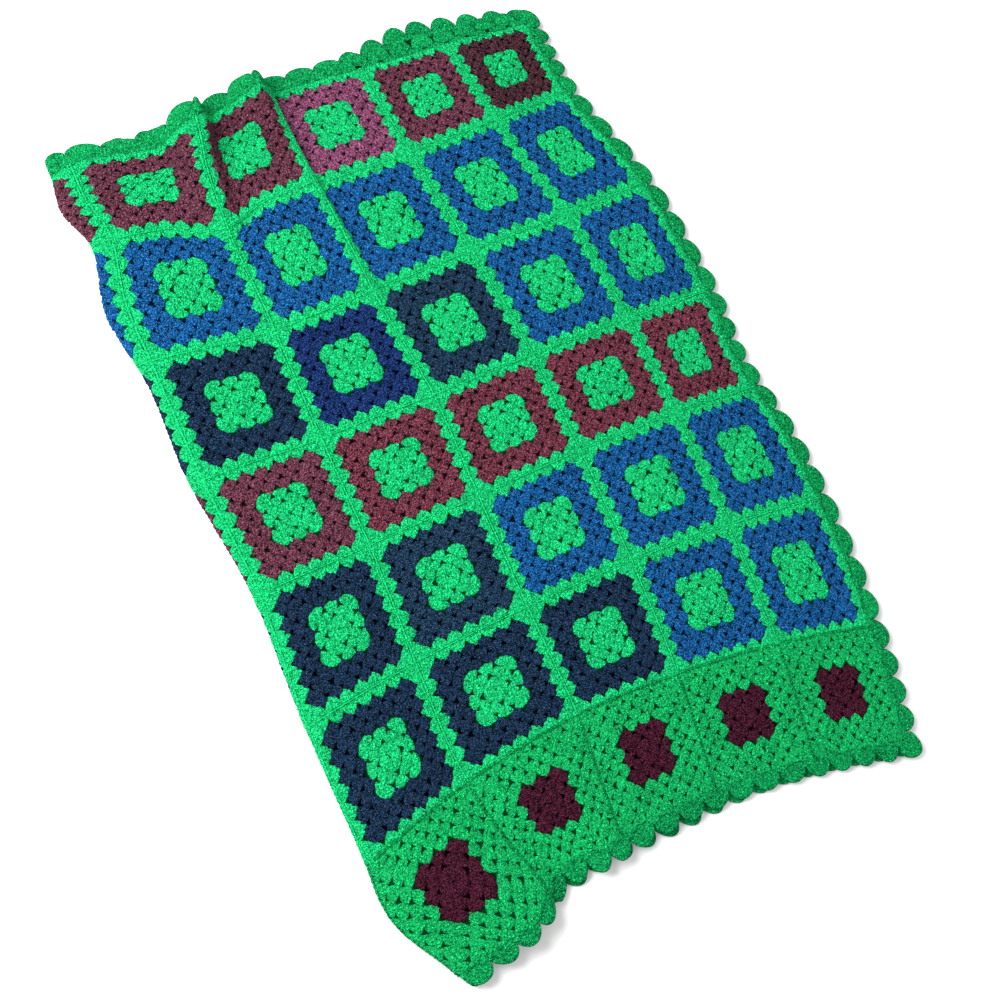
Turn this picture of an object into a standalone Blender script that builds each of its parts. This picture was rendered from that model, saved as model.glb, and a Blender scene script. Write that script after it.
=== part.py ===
"""Afghan blanket of crocheted squares, folded in half lengthwise and laid on a floor.

The cloth is ten squares wide and seven long, and a scalloped border of shell stitches runs all
round it. Five columns of squares lie on top and five underneath. X runs across the columns, from
the fold at -X to the open edges at +X. Y runs along the rows, with the all green row at -Y. The
floor is Z = 0. Sizes are in metres.
"""
import math

import bmesh
import bpy
import numpy as np

SQUARE = 0.150            # pitch of the joined squares
HALF_COLUMNS = 5          # columns of squares in each layer
ROWS = 7
HALF_WIDTH = HALF_COLUMNS * SQUARE
THICKNESS = 0.005         # double crochet in worsted yarn
UNDER_LEVEL = THICKNESS / 2
TOP_LEVEL = 0.012         # middle of the upper layer where it lies flat
PIECE_GAP = 0.0008        # between the squares and the border worked onto them

# The rows' joints as they lie: x of the column joints out to the open edge, and y.
ROW_LINES = (
    # row, joint 1, joint 2, joint 3, joint 4, open edge, y at fold, y middle, y open
    (0, 0.162, 0.277, 0.420, 0.545, 0.668, -0.052, -0.025, -0.034),
    (1, 0.149, 0.283, 0.427, 0.556, 0.670, -0.154, -0.156, -0.145),
    (2, 0.157, 0.299, 0.449, 0.594, 0.713, -0.314, -0.317, -0.305),
    (3, 0.152, 0.308, 0.460, 0.611, 0.728, -0.474, -0.468, -0.480),
    (4, 0.151, 0.305, 0.458, 0.611, 0.732, -0.632, -0.620, -0.627),
    (5, 0.150, 0.303, 0.455, 0.607, 0.740, -0.792, -0.772, -0.798),
    (6, 0.143, 0.305, 0.450, 0.598, 0.725, -0.968, -0.924, -0.978),
    (7, 0.178, 0.292, 0.430, 0.568, 0.694, -1.135, -1.075, -1.128),
)

# The fold: the column joint beside it, where the cloth turns, and how high the loose roll stands.
FOLD = (
    # row, x of joint 0, turn from joint 0, height of the roll
    (0.00, -0.004, -0.029, 0.031),
    (0.50, -0.004, -0.034, 0.031),
    (1.00, 0.006, -0.026, 0.029),
    (1.60, -0.011, -0.027, 0.027),
    (2.10, -0.009, -0.018, 0.026),
    (3.00, -0.010, -0.018, 0.025),
    (4.00, 0.000, -0.012, 0.024),
    (5.00, -0.009, -0.010, 0.023),
    (6.00, -0.012, -0.007, 0.023),
    (6.55, -0.014, -0.006, 0.023),
    (7.00, 0.028, -0.006, 0.022),
    (7.40, 0.062, -0.006, 0.022),
)
ROLL_DEPTH = 0.020        # from the outside of the roll in to where the layers are level
ROLL_FADE = 0.120         # the upper layer comes down from the roll over this length

# The lower layer lies a little askew under the upper one.
ASKEW = (
    # row, y shift at a quarter, half and three quarters of the width, y shift at the open edge
    (0, -0.018, -0.014, 0.022, 0.006),
    (2, 0.000, 0.002, 0.008, 0.002),
    (4, 0.000, 0.000, 0.000, 0.000),
    (7, 0.000, -0.012, -0.004, 0.000),
)
UNDER_INSET = 0.004       # the lower open edge stops this far short of the upper one

# Waves of the upper layer, each a ridge along a line across the squares.
WAVES = (
    # from column, row, to column, row, height from, to, half width to the left, to the right
    (1.05, -0.40, 1.02, 1.20, 0.051, 0.004, 0.047, 0.037),
    (1.78, -0.40, 1.66, 1.00, 0.034, 0.006, 0.034, 0.045),
    (1.96, -0.40, 2.00, 1.90, 0.022, 0.006, 0.040, 0.012),
    (4.10, -0.40, 4.00, 1.00, 0.002, 0.012, 0.110, 0.110),
    (0.60, 5.90, 0.80, 7.40, 0.006, 0.024, 0.090, 0.055),
    (1.56, 6.10, 1.72, 7.40, 0.004, 0.015, 0.048, 0.090),
    (3.30, 4.60, 2.30, 7.40, 0.000, 0.006, 0.120, 0.120),
)
WAVE_END = 0.45           # rows over which a wave dies away past its far end

# Places where the cloth is drawn aside.
DRAWN = (
    # column, row, x shift, y shift, reach in columns
    (1.00, 1.00, 0.000, -0.022, 0.55),
    (0.75, 0.00, 0.000, -0.018, 0.80),
    (5.00, 3.65, -0.011, 0.000, 0.80),
    (0.55, 7.00, 0.004, -0.012, 0.60),
    (1.25, 7.00, 0.000, 0.014, 0.60),
)

CENTRE_X = 0.3664         # middle of the laid blanket's outline
CENTRE_Y = -0.5702

# The border: shells worked into the edge of the squares, one more at each corner.
SHELLS_ACROSS = 38        # along the fifteen hundred millimetre edges
SHELLS_ALONG = 28         # along the seven squares of an open edge
SHELL_PARTS = (0.00, 0.14, 0.39, 0.61, 0.86)  # corners of a shell's outline, in its width
SLIT_PART = 2             # the shell stands over its gap from this corner to the next
SLIT_DEPTH = 0.0045       # the gap under each shell, beside the squares
BAND_DEPTH = 0.012        # to the notch between two shells
SHELL_DEPTH = 0.026       # to the tip of a shell

GREEN = (0.010, 0.570, 0.145)
DEEP_GREEN = (0.010, 0.500, 0.125)


def at_row(table, column, row):
    """A table's value at a row position, on a smooth curve through the rows given."""
    rows = np.array([line[0] for line in table], dtype=float)
    values = np.array([line[column] for line in table])
    slopes = np.gradient(values, rows)
    row = min(max(row, rows[0]), rows[-1])
    low = min(int(np.searchsorted(rows, row, side="right")) - 1, len(rows) - 2)
    step = rows[low + 1] - rows[low]
    part = (row - rows[low]) / step
    ease = part * part * (3.0 - 2.0 * part)
    rise = values[low] + (values[low + 1] - values[low]) * ease
    lean = slopes[low] * part * (1.0 - part) ** 2 - slopes[low + 1] * part * part * (1.0 - part)
    return rise + lean * step


def hump(distance):
    """One at zero, falling smoothly to nothing at one."""
    return np.cos(np.clip(np.abs(distance), 0.0, 1.0) * math.pi / 2) ** 2


def wave_height(column, row):
    """Height that the waves add to the upper layer, at an array of columns on one row."""
    height = np.zeros_like(column)
    for from_column, from_row, to_column, to_row, low, high, left, right in WAVES:
        part = min(max((row - from_row) / (to_row - from_row), 0.0), 1.0)
        middle = from_column + (to_column - from_column) * part
        past = max(row - to_row, from_row - row, 0.0) / WAVE_END
        aside = (column - middle) * SQUARE
        across = np.where(aside < 0.0, hump(aside / left), hump(aside / right))
        height += (low + (high - low) * part) * across * float(hump(past))
    return height


def drawn_aside(column, row):
    """Shift of the upper layer where it is drawn aside, at an array of columns on one row."""
    shift_x = np.zeros_like(column)
    shift_y = np.zeros_like(column)
    for at_column, at_line, along_x, along_y, reach in DRAWN:
        near = hump(np.hypot(column - at_column, row - at_line) / reach)
        shift_x += along_x * near
        shift_y += along_y * near
    return shift_x, shift_y


def upper_layer(row, across):
    """Points of the upper layer on one row position, and the cloth's y line there."""
    inside = min(max(row, 0.0), float(ROWS))
    joints = [at_row(FOLD, 1, row)]
    joints += [at_row(ROW_LINES, joint, inside) for joint in range(1, HALF_COLUMNS + 1)]
    plan = np.linspace(0.0, HALF_COLUMNS, 50 * HALF_COLUMNS + 1)
    plan_x = np.interp(plan, np.arange(HALF_COLUMNS + 1), joints)
    height = wave_height(plan, row)
    run = np.concatenate(([0.0], np.cumsum(np.hypot(np.diff(plan_x), np.diff(height)))))
    marks = np.interp(np.arange(HALF_COLUMNS + 1), plan, run)
    worked = np.interp(run, marks, np.arange(HALF_COLUMNS + 1))
    column = across / SQUARE
    held = np.clip(column, 0.0, HALF_COLUMNS)
    spot = np.interp(held, worked, plan)
    shift_x, shift_y = drawn_aside(spot, row)
    x = np.interp(spot, plan, plan_x) + (column - held) * SQUARE + shift_x
    z = TOP_LEVEL + np.interp(spot, plan, height)
    return x, z, shift_y, joints


def y_line(row, x, joints):
    """Y of a row position at an array of x, bowed through its three given points."""
    inside = min(max(row, 0.0), float(ROWS))
    fold, middle, edge = (at_row(ROW_LINES, 6 + place, inside) for place in range(3))
    share = np.clip((x - joints[0]) / (joints[-1] - joints[0]), -0.08, 1.08)
    bowed = fold * (2 * share - 1) * (share - 1) + 4 * middle * share * (1 - share)
    return bowed + edge * share * (2 * share - 1) + (inside - row) * SQUARE, share


def cloth_line(row, across):
    """Points of the folded cloth on one row position, from the lower open edge to the upper.

    across is the distance along the cloth from the column joint beside the fold: the lower
    layer's edge is at -HALF_WIDTH and the upper layer's at HALF_WIDTH.
    """
    turn = at_row(FOLD, 2, row)
    roll = at_row(FOLD, 3, row)
    half_rise = (roll - UNDER_LEVEL) / 2
    quarter = math.pi / 2 * math.sqrt((ROLL_DEPTH ** 2 + half_rise ** 2) / 2)
    end_x, _, _, _ = upper_layer(row, np.array([turn + quarter]))
    x, z, shift_y, joints = upper_layer(row, across)
    z = z + (roll - TOP_LEVEL) * hump((across - turn - quarter) / ROLL_FADE)
    angle = np.clip((across - turn) / quarter, -1.0, 1.0) * math.pi / 2
    on_top = across >= turn + quarter
    x = np.where(on_top, x, end_x - ROLL_DEPTH * np.cos(angle))
    z = np.where(on_top, z, UNDER_LEVEL + half_rise * (1.0 + np.sin(angle)))
    back = np.clip(turn - quarter - across, 0.0, None)
    lower_run = HALF_WIDTH + turn - quarter
    lower_span = joints[-1] - UNDER_INSET - end_x
    spread = np.minimum(back, lower_run) / lower_run * lower_span
    x = np.where(back > 0.0, end_x + spread + np.clip(back - lower_run, 0.0, None), x)
    y, share = y_line(row, x, joints)
    shifts = [0.0] + [at_row(ASKEW, place, row) for place in range(1, 5)]
    askew = np.interp(share, np.linspace(0.0, 1.0, 5), shifts)
    y = y + np.where(back > 0.0, askew * (1.0 - hump(back / 0.2)), shift_y)
    return np.stack((x - CENTRE_X, y - CENTRE_Y, z), axis=-1)


def stations(segments):
    """Positions from a table of segments, each with its start, its end and its count of cells."""
    places = [segments[0][0]]
    for start, end, cells in segments:
        for cell in range(cells):
            places.append(start + (end - start) * (cell + 1) / cells)
    return places


# Cells of the cloth: closer at the turn, over the waves and towards both ends.
ACROSS_CELLS = (
    # from share of the layer, to share, cells; the lower layer is below zero
    (-1.00, -0.06, 8),
    (-0.06, 0.06, 10),
    (0.06, 0.14, 3),
    (0.14, 0.46, 18),
    (0.46, 1.00, 9),
)
ALONG_CELLS = (
    # from row, to row, cells
    (0.0, 1.5, 10),
    (1.5, 6.0, 12),
    (6.0, 7.0, 6),
)
MARGIN = 0.06             # share of a layer by which the lattice reaches past an open edge
MARGIN_ROWS = 0.3


def cloth_lattice():
    """Row stations, share stations and the cloth's points there, one line past every edge.

    A share runs from the turn to an open edge: to 1 in the upper layer, to -1 in the lower.
    """
    rows = np.array([-MARGIN_ROWS] + stations(ALONG_CELLS) + [ROWS + MARGIN_ROWS])
    shares = np.array([-1.0 - MARGIN] + stations(ACROSS_CELLS) + [1.0 + MARGIN])
    points = []
    for row in rows:
        turn = at_row(FOLD, 2, row)
        reach = np.where(shares > 0.0, HALF_WIDTH - turn, HALF_WIDTH + turn)
        points.append(cloth_line(row, turn + shares * reach))
    return rows, shares, np.array(points)


def on_lattice(lattice, row, across):
    """A point of the cloth between the lattice's own, also just past the open edges."""
    rows, shares, points = lattice
    turn = at_row(FOLD, 2, row)
    reach = HALF_WIDTH - turn if across > turn else HALF_WIDTH + turn
    share = (across - turn) / reach
    line = int(np.clip(np.searchsorted(rows, row) - 1, 0, len(rows) - 2))
    column = int(np.clip(np.searchsorted(shares, share) - 1, 0, len(shares) - 2))
    down = (row - rows[line]) / (rows[line + 1] - rows[line])
    over = (share - shares[column]) / (shares[column + 1] - shares[column])
    near = points[line, column] * (1.0 - over) + points[line, column + 1] * over
    far = points[line + 1, column] * (1.0 - over) + points[line + 1, column + 1] * over
    return near * (1.0 - down) + far * down


def make_material(name, colour):
    """Matt acrylic yarn of one colour."""
    material = bpy.data.materials.new(name)
    material.use_nodes = True
    shader = material.node_tree.nodes["Principled BSDF"]
    shader.inputs["Base Color"].default_value = (*colour, 1.0)
    shader.inputs["Roughness"].default_value = 0.9
    shader.inputs["Metallic"].default_value = 0.0
    return material


def grid_object(name, columns, lines, collection):
    """An even grid of cells, one named object in the blanket's collection."""
    bpy.ops.mesh.primitive_grid_add(x_subdivisions=columns, y_subdivisions=lines, size=2.0)
    grid = bpy.context.object
    grid.name = name
    grid.data.name = name
    for holder in list(grid.users_collection):
        holder.objects.unlink(grid)
    collection.objects.link(grid)
    return grid


def cell_of(vertex, columns, lines):
    """Which column and line of an even grid a vertex stands on."""
    column = round((vertex.co.x + 1.0) / 2.0 * columns)
    line = round((vertex.co.y + 1.0) / 2.0 * lines)
    return column, line


def thicken(grid):
    """Give a sheet its thickness, half to each side."""
    solid = grid.modifiers.new("yarn thickness", "SOLIDIFY")
    solid.thickness = THICKNESS
    solid.offset = 0.0


def build_panel(lattice, collection):
    """The seventy joined squares as one folded sheet."""
    points = lattice[2][1:-1, 1:-1]
    lines, columns = points.shape[0] - 1, points.shape[1] - 1
    panel = grid_object("patchwork_panel", columns, lines, collection)
    for vertex in panel.data.vertices:
        column, line = cell_of(vertex, columns, lines)
        vertex.co = points[lines - line, column]
    thicken(panel)
    panel.data.materials.append(make_material("green crochet", GREEN))
    return panel


def shell_outline(part):
    """Depth of the border at a share of one shell's width."""
    return BAND_DEPTH + (SHELL_DEPTH - BAND_DEPTH) * math.sqrt(max(1.0 - (2 * part - 1) ** 2, 0.0))


def border_path():
    """Stations round the flat cloth: inner point, outward direction, and place in its shell.

    The four sides are taken in turn. Each ends in a corner shell, which fans through a right
    angle about the corner.
    """
    width = HALF_WIDTH + PIECE_GAP
    length = ROWS * SQUARE / 2 + PIECE_GAP
    corner = SHELL_DEPTH / 2
    sides = (
        # start, end, direction outwards in quarter turns, shells
        ((-width, length), (width, length), 1, SHELLS_ACROSS),
        ((width, length), (width, -length), 0, SHELLS_ALONG),
        ((width, -length), (-width, -length), -1, SHELLS_ACROSS),
        ((-width, -length), (-width, length), -2, SHELLS_ALONG),
    )
    path = []
    for start, end, quarter, shells in sides:
        total = math.dist(start, end)
        ahead = ((end[0] - start[0]) / total, (end[1] - start[1]) / total)
        pitch = (total - 2 * corner) / shells
        for shell in range(shells):
            for step, part in enumerate(SHELL_PARTS):
                run = corner + pitch * (shell + part)
                point = (start[0] + ahead[0] * run, start[1] + ahead[1] * run)
                path.append((point, quarter * math.pi / 2, step))
        for step, part in enumerate(SHELL_PARTS):
            run = total - corner + min(part, 0.5) * 2 * corner
            into = max(part - 0.5, 0.0) * 2 * corner
            point = (start[0] + ahead[0] * run + ahead[1] * into,
                     start[1] + ahead[1] * run - ahead[0] * into)
            path.append((point, (quarter - part) * math.pi / 2, step))
    return path


def stands_over_gap(face, path):
    """Whether a cell of the ring is the open one under a shell."""
    middle = face.calc_center_median()
    column = int((middle.x + 1.0) / 2.0 * len(path))
    return middle.y < 0.0 and path[column][2] == SLIT_PART


def build_border(lattice, collection):
    """The ring of shells, with the gap under each shell left open beside the squares."""
    path = border_path()
    ring = grid_object("shell_edging", len(path), 2, collection)
    cells = bmesh.new()
    cells.from_mesh(ring.data)
    gaps = [face for face in cells.faces if stands_over_gap(face, path)]
    bmesh.ops.delete(cells, geom=gaps, context="FACES")
    for vertex in cells.verts:
        column, line = cell_of(vertex, len(path), 2)
        (across, along), angle, step = path[column % len(path)]
        depth = (0.0, SLIT_DEPTH, shell_outline(SHELL_PARTS[step]))[line]
        across += depth * math.cos(angle)
        along += depth * math.sin(angle)
        vertex.co = on_lattice(lattice, ROWS / 2 - along / SQUARE, across)
    bmesh.ops.remove_doubles(cells, verts=cells.verts, dist=0.00005)
    cells.to_mesh(ring.data)
    cells.free()
    thicken(ring)
    ring.data.materials.append(make_material("deep green crochet", DEEP_GREEN))
    return ring


def main():
    for item in list(bpy.data.objects):
        bpy.data.objects.remove(item, do_unlink=True)
    blanket = bpy.data.collections.new("afghan_blanket")
    bpy.context.scene.collection.children.link(blanket)
    lattice = cloth_lattice()
    build_panel(lattice, blanket)
    build_border(lattice, blanket)


main()
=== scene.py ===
"""Afghan blanket of crocheted granny squares, folded in half lengthwise: its looks."""
import math

import bpy
import numpy as np
from mathutils import Matrix


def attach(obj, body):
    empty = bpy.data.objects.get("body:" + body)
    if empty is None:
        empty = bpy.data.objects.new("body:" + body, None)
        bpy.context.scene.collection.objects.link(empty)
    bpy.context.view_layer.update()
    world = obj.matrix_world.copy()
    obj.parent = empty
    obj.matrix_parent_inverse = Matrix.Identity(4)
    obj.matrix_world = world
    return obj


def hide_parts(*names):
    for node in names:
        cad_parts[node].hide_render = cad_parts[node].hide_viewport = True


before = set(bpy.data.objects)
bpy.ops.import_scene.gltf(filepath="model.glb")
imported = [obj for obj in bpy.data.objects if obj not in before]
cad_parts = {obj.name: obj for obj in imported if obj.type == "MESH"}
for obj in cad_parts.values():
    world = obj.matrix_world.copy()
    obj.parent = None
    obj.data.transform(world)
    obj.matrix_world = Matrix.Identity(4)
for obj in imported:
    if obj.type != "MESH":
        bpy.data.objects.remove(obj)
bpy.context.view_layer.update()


# The cloth as it lies. It is ten squares wide and seven long, folded in half along -X, with the
# open edges at +X. An under layer lies flat, a loose roll turns at the fold, and the upper layer
# has the raised folds. These sizes and forms are those of the solids.
SQUARE = 0.150            # pitch of the joined squares
HALF_COLUMNS = 5
ROWS = 7
HALF_WIDTH = HALF_COLUMNS * SQUARE
THICKNESS = 0.005
UNDER_LEVEL = THICKNESS / 2
TOP_LEVEL = 0.012         # middle of the upper layer where nothing lifts it

ROW_LINES = (
    # row, joint 1, joint 2, joint 3, joint 4, open edge, y at fold, y middle, y open
    (0, 0.162, 0.277, 0.420, 0.545, 0.668, -0.052, -0.025, -0.034),
    (1, 0.149, 0.283, 0.427, 0.556, 0.670, -0.154, -0.156, -0.145),
    (2, 0.157, 0.299, 0.449, 0.594, 0.713, -0.314, -0.317, -0.305),
    (3, 0.152, 0.308, 0.460, 0.611, 0.728, -0.474, -0.468, -0.480),
    (4, 0.151, 0.305, 0.458, 0.611, 0.732, -0.632, -0.620, -0.627),
    (5, 0.150, 0.303, 0.455, 0.607, 0.740, -0.792, -0.772, -0.798),
    (6, 0.143, 0.305, 0.450, 0.598, 0.725, -0.968, -0.924, -0.978),
    (7, 0.178, 0.292, 0.430, 0.568, 0.694, -1.135, -1.075, -1.128),
)
FOLD = (
    # row, x of joint 0, turn from joint 0, height of the roll
    (0.00, -0.004, -0.029, 0.031),
    (0.50, -0.004, -0.034, 0.031),
    (1.00, 0.006, -0.026, 0.029),
    (1.60, -0.011, -0.027, 0.027),
    (2.10, -0.009, -0.018, 0.026),
    (3.00, -0.010, -0.018, 0.025),
    (4.00, 0.000, -0.012, 0.024),
    (5.00, -0.009, -0.010, 0.023),
    (6.00, -0.012, -0.007, 0.023),
    (6.55, -0.014, -0.006, 0.023),
    (7.00, 0.028, -0.006, 0.022),
    (7.40, 0.062, -0.006, 0.022),
)
ROLL_DEPTH = 0.020        # how far the roll stands out past its turn
ROLL_FADE = 0.120         # the run over which its height goes down to the upper layer's
ASKEW = (
    # row, y shift at a quarter, half and three quarters of the width, y shift at the open edge
    (0, -0.018, -0.014, 0.022, 0.006),
    (2, 0.000, 0.002, 0.008, 0.002),
    (4, 0.000, 0.000, 0.000, 0.000),
    (7, 0.000, -0.012, -0.004, 0.000),
)
UNDER_INSET = 0.004       # the lower open edge lies this far inside the upper one
WAVES = (
    # from column, row, to column, row, height from, to, half width to the left, to the right
    (1.05, -0.40, 1.02, 1.20, 0.051, 0.004, 0.047, 0.037),
    (1.78, -0.40, 1.66, 1.00, 0.034, 0.006, 0.034, 0.045),
    (1.96, -0.40, 2.00, 1.90, 0.022, 0.006, 0.040, 0.012),
    (4.10, -0.40, 4.00, 1.00, 0.002, 0.012, 0.110, 0.110),
    (0.60, 5.90, 0.80, 7.40, 0.006, 0.024, 0.090, 0.055),
    (1.56, 6.10, 1.72, 7.40, 0.004, 0.015, 0.048, 0.090),
    (3.30, 4.60, 2.30, 7.40, 0.000, 0.006, 0.120, 0.120),
)
WAVE_END = 0.45           # rows over which a wave dies away past its two ends
CREST = (2.2, 1.2)        # how much broader the soft crests are than the solids',
CREST_ROWS = (-0.3, 0.9)  # at the far end and nearer
DRAWN = (
    # column, row, x shift, y shift, reach in columns
    (1.00, 1.00, 0.000, -0.022, 0.55),
    (0.75, 0.00, 0.000, -0.018, 0.80),
    (5.00, 3.65, -0.011, 0.000, 0.80),
    (0.55, 7.00, 0.004, -0.012, 0.60),
    (1.25, 7.00, 0.000, 0.014, 0.60),
)
CENTRE_X = 0.3664
CENTRE_Y = -0.5702


def at_row(table, column, row):
    """A table's value at a row position, on a smooth curve through the rows given."""
    rows = np.array([line[0] for line in table], dtype=float)
    values = np.array([line[column] for line in table])
    slopes = np.gradient(values, rows)
    row = min(max(row, rows[0]), rows[-1])
    low = min(int(np.searchsorted(rows, row, side="right")) - 1, len(rows) - 2)
    step = rows[low + 1] - rows[low]
    part = (row - rows[low]) / step
    ease = part * part * (3.0 - 2.0 * part)
    rise = values[low] + (values[low + 1] - values[low]) * ease
    lean = slopes[low] * part * (1.0 - part) ** 2 - slopes[low + 1] * part * part * (1.0 - part)
    return rise + lean * step


def hump(distance):
    """One at zero, falling smoothly to nothing at one."""
    return np.cos(np.clip(np.abs(distance), 0.0, 1.0) * math.pi / 2) ** 2


def wave_height(column, row):
    """Height that the waves add to the upper layer, at an array of columns on one row."""
    height = np.zeros_like(column)
    for from_column, from_row, to_column, to_row, low, high, left, right in WAVES:
        part = min(max((row - from_row) / (to_row - from_row), 0.0), 1.0)
        middle = from_column + (to_column - from_column) * part
        past = max(row - to_row, from_row - row, 0.0) / WAVE_END
        aside = (column - middle) * SQUARE
        across = np.where(aside < 0.0, hump(aside / left), hump(aside / right))
        across = 1.0 - (1.0 - across) ** float(np.interp(row, CREST_ROWS, CREST))
        height += (low + (high - low) * part) * across * float(hump(past))
    return height


def drawn_aside(column, row):
    """Shift of the upper layer where it is drawn aside, at an array of columns on one row."""
    shift_x = np.zeros_like(column)
    shift_y = np.zeros_like(column)
    for at_column, at_line, along_x, along_y, reach in DRAWN:
        near = hump(np.hypot(column - at_column, row - at_line) / reach)
        shift_x += along_x * near
        shift_y += along_y * near
    return shift_x, shift_y


def upper_layer(row, across):
    """Points of the upper layer on one row position, and its joints' x there."""
    inside = min(max(row, 0.0), float(ROWS))
    joints = [at_row(FOLD, 1, row)]
    joints += [at_row(ROW_LINES, joint, inside) for joint in range(1, HALF_COLUMNS + 1)]
    plan = np.linspace(0.0, HALF_COLUMNS, 50 * HALF_COLUMNS + 1)
    plan_x = np.interp(plan, np.arange(HALF_COLUMNS + 1), joints)
    height = wave_height(plan, row)
    run = np.concatenate(([0.0], np.cumsum(np.hypot(np.diff(plan_x), np.diff(height)))))
    marks = np.interp(np.arange(HALF_COLUMNS + 1), plan, run)
    worked = np.interp(run, marks, np.arange(HALF_COLUMNS + 1))
    column = across / SQUARE
    held = np.clip(column, 0.0, HALF_COLUMNS)
    spot = np.interp(held, worked, plan)
    shift_x, shift_y = drawn_aside(spot, row)
    x = np.interp(spot, plan, plan_x) + (column - held) * SQUARE + shift_x
    z = TOP_LEVEL + np.interp(spot, plan, height)
    return x, z, shift_y, joints


def y_line(row, x, joints):
    """Y of a row position at an array of x, bowed through its three given points."""
    inside = min(max(row, 0.0), float(ROWS))
    fold, middle, edge = (at_row(ROW_LINES, 6 + place, inside) for place in range(3))
    share = np.clip((x - joints[0]) / (joints[-1] - joints[0]), -0.08, 1.08)
    bowed = fold * (2 * share - 1) * (share - 1) + 4 * middle * share * (1 - share)
    return bowed + edge * share * (2 * share - 1) + (inside - row) * SQUARE, share


def cloth_line(row, across):
    """Points of the folded cloth on one row position, from the lower open edge to the upper.

    across is the distance along the cloth from the column joint beside the fold, and is
    negative in the lower layer.
    """
    turn = at_row(FOLD, 2, row)
    roll = at_row(FOLD, 3, row)
    half_rise = (roll - UNDER_LEVEL) / 2
    quarter = math.pi / 2 * math.sqrt((ROLL_DEPTH ** 2 + half_rise ** 2) / 2)
    end_x, _, _, _ = upper_layer(row, np.array([turn + quarter]))
    x, z, shift_y, joints = upper_layer(row, across)
    z = z + (roll - TOP_LEVEL) * hump((across - turn - quarter) / ROLL_FADE)
    angle = np.clip((across - turn) / quarter, -1.0, 1.0) * math.pi / 2
    on_top = across >= turn + quarter
    x = np.where(on_top, x, end_x - ROLL_DEPTH * np.cos(angle))
    z = np.where(on_top, z, UNDER_LEVEL + half_rise * (1.0 + np.sin(angle)))
    back = np.clip(turn - quarter - across, 0.0, None)
    lower_run = HALF_WIDTH + turn - quarter
    lower_span = joints[-1] - UNDER_INSET - end_x
    spread = np.minimum(back, lower_run) / lower_run * lower_span
    x = np.where(back > 0.0, end_x + spread + np.clip(back - lower_run, 0.0, None), x)
    y, share = y_line(row, x, joints)
    shifts = [0.0] + [at_row(ASKEW, place, row) for place in range(1, 5)]
    askew = np.interp(share, np.linspace(0.0, 1.0, 5), shifts)
    y = y + np.where(back > 0.0, askew * (1.0 - hump(back / 0.2)), shift_y)
    return np.stack((x - CENTRE_X, y - CENTRE_Y, z), axis=-1)


# The squares stretch unevenly as they lie, so their joints drift from where even squares would
# have them. The border and the roll at the fold are worked on to them and follow them, less and
# less: the drift dies away beyond the squares.
DRIFT = (
    # row joint, then mm across and mm along at each column joint, from the fold to the open edge
    (0, (1, -3), (3, -5), (2, -1), (-2, 5), (-1, 6), (2, -1)),
    (1, (2, 5), (4, 8), (3, 8), (1, 7), (4, 8), (7, 0)),
    (2, (1, 7), (-2, 14), (-4, 7), (-2, 1), (4, 1), (9, 0)),
    (3, (1, 9), (0, 14), (4, 14), (2, 8), (0, 2), (8, -1)),
    (4, (0, 7), (0, 7), (4, 5), (6, -1), (3, -3), (9, -1)),
    (5, (-3, 14), (-8, 9), (2, 7), (6, 3), (5, 1), (7, 0)),
    (6, (-1, 14), (-4, 7), (-1, 3), (0, 5), (0, 4), (7, 3)),
    (7, (-6, 10), (-13, 11), (-9, 6), (0, 7), (7, 9), (8, 5)),
)
JOINT_DRIFT = np.array([line[1:] for line in DRIFT]) * 0.001
EDGE_FADE = 0.1700        # the drift is gone this far beyond the open edge,
FOLD_FADE = 0.0425        # this far round the fold
END_FADE = 0.1020         # and this far beyond the two ends


def drifted(across, row):
    """Where on the laid cloth a place of the even pattern comes."""
    column = np.clip(across / SQUARE, 0, HALF_COLUMNS - 0.0001)
    line = np.clip(row, 0, ROWS - 0.0001)
    left = column.astype(int)
    top = line.astype(int)
    over = (column - left)[..., None]
    down = (line - top)[..., None]
    near = JOINT_DRIFT[top, left] * (1 - over) + JOINT_DRIFT[top, left + 1] * over
    far = JOINT_DRIFT[top + 1, left] * (1 - over) + JOINT_DRIFT[top + 1, left + 1] * over
    beyond = np.abs(across - column * SQUARE) / np.where(across > 0.0, EDGE_FADE, FOLD_FADE)
    outside = np.maximum(beyond, np.abs(row - line) * SQUARE / END_FADE)
    move = (near * (1 - down) + far * down) * np.clip(1.0 - outside, 0.0, 1.0)[..., None]
    return across + move[..., 0], row + move[..., 1] / SQUARE


# Everything below is placed on the cloth by its distance across, its row position, and its
# height over the middle of the cloth. The right side of the work faces out of the fold. The cloth
# is laid once as a fine net, which has room for the border all round.
ACROSS_STEP = 0.003       # the net's step and its room, in metres across
ROOM_ACROSS = 0.036
ROW_STEP = 0.02           # and in rows along
ROOM_ROWS = 0.26
FLOOR_CLEAR = 0.0002      # the floor presses the under side's stitches flat, just above it
FINE_ACROSS = np.arange(-HALF_WIDTH - ROOM_ACROSS, HALF_WIDTH + ROOM_ACROSS + 0.001, ACROSS_STEP)
FINE_ROWS = np.arange(-ROOM_ROWS, ROWS + ROOM_ROWS + 0.001, ROW_STEP)
LAID = np.array([cloth_line(row, FINE_ACROSS) for row in FINE_ROWS])
OUTWARD = np.cross(np.gradient(LAID, axis=0), np.gradient(LAID, axis=1))
OUTWARD /= np.linalg.norm(OUTWARD, axis=-1, keepdims=True)


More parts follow.
